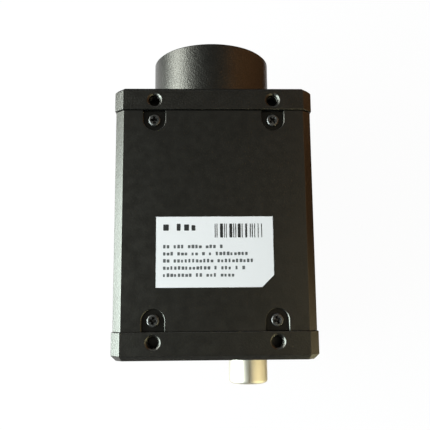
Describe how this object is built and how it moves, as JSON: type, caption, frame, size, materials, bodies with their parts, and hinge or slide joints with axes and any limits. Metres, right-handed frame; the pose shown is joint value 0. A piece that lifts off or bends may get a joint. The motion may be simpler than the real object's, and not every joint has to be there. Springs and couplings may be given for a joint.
{
  "type": "machine vision camera",
  "caption": "Area-scan machine vision camera: square black aluminium body, round lens barrel in front, Ethernet jack and round power connector behind.",
  "frame": {"origin": "centre of the lens mount's flange face, on the optical axis", "axes": "+Y along the optical axis, out of the lens mount; +Z out of the labelled top face; +X to the right, seen from behind. It rests on its base face, at Z = -31 mm"},
  "size_m": [0.062, 0.1131, 0.062],
  "materials": {
    "black_anodised_aluminium": "fine blasted, matt black anodised",
    "blackened_screw_steel": "blackened zinc, worn bright at the rim",
    "nickel_plate": "satin nickel plate",
    "gold_plate": "thin gold plate",
    "stainless_steel": "turned stainless steel",
    "tin_plate": "tin-plated sheet",
    "bare_aluminium": "milled, uncoated",
    "filter_glass": "coated optical glass",
    "clear_plastic": "clear moulded plastic",
    "ceramic": "fired dark ceramic",
    "silicon": "polished silicon with a faint sheen",
    "circuit_board": "green solder mask on glass laminate",
    "black_plastic": "moulded, fine matt",
    "seal_rubber": "soft silicone cord and foam",
    "thermal_pad_rubber": "soft filled silicone",
    "label_film": "satin white film with grey print fields"
  },
  "bodies": {
    "root": {"front_housing": "black_anodised_aluminium", "main_shell": "black_anodised_aluminium", "rear_plate": "black_anodised_aluminium", "front_gasket": "seal_rubber", "rear_gasket": "seal_rubber", "front_shell_screws": "blackened_screw_steel", "rear_shell_screws": "blackened_screw_steel", "rating_label": "label_film", "lens_mount_ring": "stainless_steel", "filter_glass": "filter_glass", "filter_gasket": "seal_rubber", "sensor_seal": "seal_rubber", "sensor_package": "ceramic", "sensor_die": "silicon", "sensor_cover_glass": "filter_glass", "sensor_board": "circuit_board", "sensor_board_screws": "stainless_steel", "board_link_plugs": "black_plastic", "board_link_sockets": "black_plastic", "processor_board": "circuit_board", "processor_chip": "black_plastic", "memory_chips": "black_plastic", "thermal_pad": "thermal_pad_rubber", "heat_spreader": "bare_aluminium", "board_spacers": "nickel_plate", "front_standoffs": "nickel_plate", "middle_standoffs": "nickel_plate", "rear_standoffs": "nickel_plate", "power_board": "circuit_board", "inductors": "black_plastic", "capacitors": "bare_aluminium", "interface_board": "circuit_board", "network_chip": "black_plastic", "interface_board_screws": "stainless_steel", "jack_shell": "tin_plate", "jack_insert": "black_plastic", "jack_contacts": "gold_plate", "power_connector_shell": "nickel_plate", "power_connector_nut": "nickel_plate", "power_connector_insulator": "black_plastic", "power_connector_pins": "gold_plate", "status_led": "clear_plastic", "status_light_pipe": "clear_plastic"}
  },
  "joints": []
}
